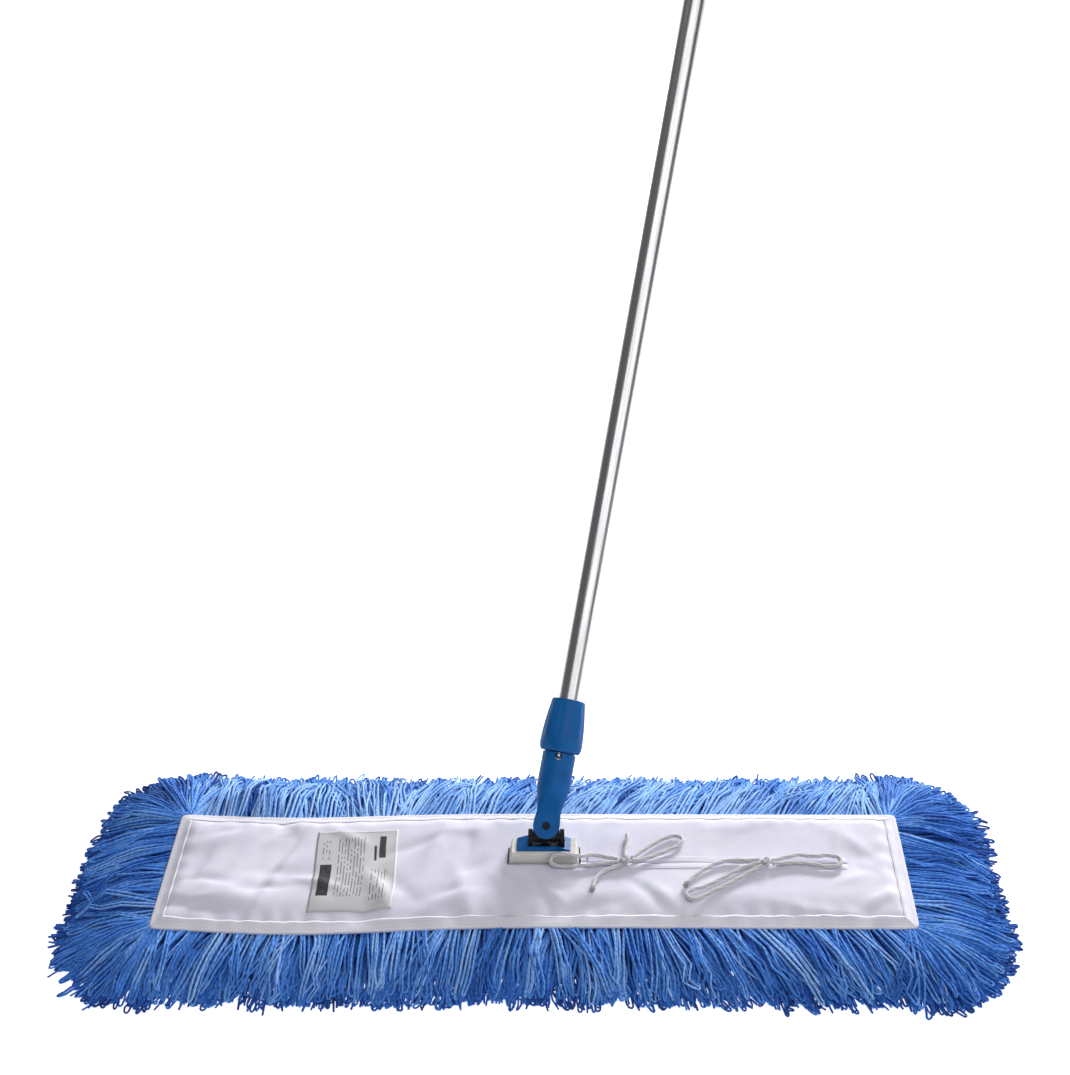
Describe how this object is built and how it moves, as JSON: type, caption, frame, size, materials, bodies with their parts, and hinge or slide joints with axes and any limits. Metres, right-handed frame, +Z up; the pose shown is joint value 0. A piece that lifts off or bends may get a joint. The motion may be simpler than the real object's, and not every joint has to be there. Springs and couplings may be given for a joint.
{
  "type": "flat mop",
  "caption": "Flat dust-control mop: looped-yarn sleeve on a wire frame, two-axis swivel joint, socket with locking collar, and a straight tubular handle.",
  "frame": {"origin": "on the floor under the middle of the canvas sleeve", "axes": "+X along the mop head, +Y away from the side with the snap button (the side the handle leans to), +Z up"},
  "size_m": [1.0286, 1.15, 1.1892],
  "materials": {
    "blue_yarn": "matte",
    "canvas": "matte",
    "tape": "matte",
    "label_cloth": "satin",
    "cotton_cord": "matte",
    "zinc_steel": "satin",
    "grey_steel": "satin",
    "blue_plastic": "satin",
    "black_plastic": "matte",
    "bright_steel": "gloss",
    "anodised_aluminium": "satin",
    "natural_plastic": "matte"
  },
  "bodies": {
    "mop_head": {"yarn_pad": "blue_yarn", "fringe_front": "blue_yarn", "fringe_back": "blue_yarn", "fringe_left": "blue_yarn", "fringe_right": "blue_yarn", "base_canvas": "canvas", "top_canvas": "canvas", "edge_binding": "tape", "slit_hem_front": "tape", "slit_hem_back": "tape", "care_label": "label_cloth", "wire_frame": "zinc_steel", "frame_bridge": "zinc_steel", "riser_channel": "grey_steel", "joint_base": "blue_plastic", "joint_yoke": "black_plastic", "yoke_rivet_left": "bright_steel", "yoke_rivet_right": "bright_steel", "bow_knot_near": "cotton_cord", "bow_knot_far": "cotton_cord", "near_tip_knot": "cotton_cord", "far_tip_knot": "cotton_cord", "near_loop_left": "cotton_cord", "near_loop_right": "cotton_cord", "near_tail_front": "cotton_cord", "near_tail_back": "cotton_cord", "far_loop_left": "cotton_cord", "far_loop_right": "cotton_cord", "far_tail_left": "cotton_cord"},
    "tilt_knuckle": {"joint_knuckle": "black_plastic", "tilt_pin": "bright_steel", "swing_screw_front": "bright_steel", "swing_screw_rear": "bright_steel"},
    "handle": {"handle_socket": "blue_plastic", "handle_tube": "anodised_aluminium", "end_cap": "blue_plastic", "button_spring": "bright_steel"},
    "snap_button": {"snap_button": "bright_steel"},
    "collet_ring": {"collet_ring": "natural_plastic"},
    "locking_collar": {"locking_collar": "blue_plastic"}
  },
  "joints": [
    {"name": "base_tilt", "type": "hinge", "parent": "mop_head", "child": "tilt_knuckle", "pos_m": [0.0135, 0.01, 0.0643], "axis": [1, 0, 0], "range_deg": [-38, 118]},
    {"name": "socket_swing", "type": "hinge", "parent": "tilt_knuckle", "child": "handle", "pos_m": [0.0135, 0.01579, 0.07119], "axis": [0, 0.766, -0.6428], "range_deg": [-52, 31.5]},
    {"name": "collet_slide", "type": "slide", "parent": "handle", "child": "collet_ring", "axis": [0.1771, 0.6326, 0.7539], "range_m": [0, 0.0016]},
    {"name": "collar_turn", "type": "hinge", "parent": "handle", "child": "locking_collar", "pos_m": [0.03121, 0.07905, 0.14659], "axis": [0.1771, 0.6326, 0.7539], "range_deg": [0, 180]},
    {"name": "button_press", "type": "slide", "parent": "handle", "child": "snap_button", "axis": [0, 0.766, -0.6428], "range_m": [0, 0.0035], "stiffness_N_per_m": 300, "springref_m": -0.003, "deforming": ["button_spring"]}
  ],
  "couplings": [
    {"joint": "collet_slide", "follows": "collar_turn", "m_per_rad": 0.00047746}
  ]
}
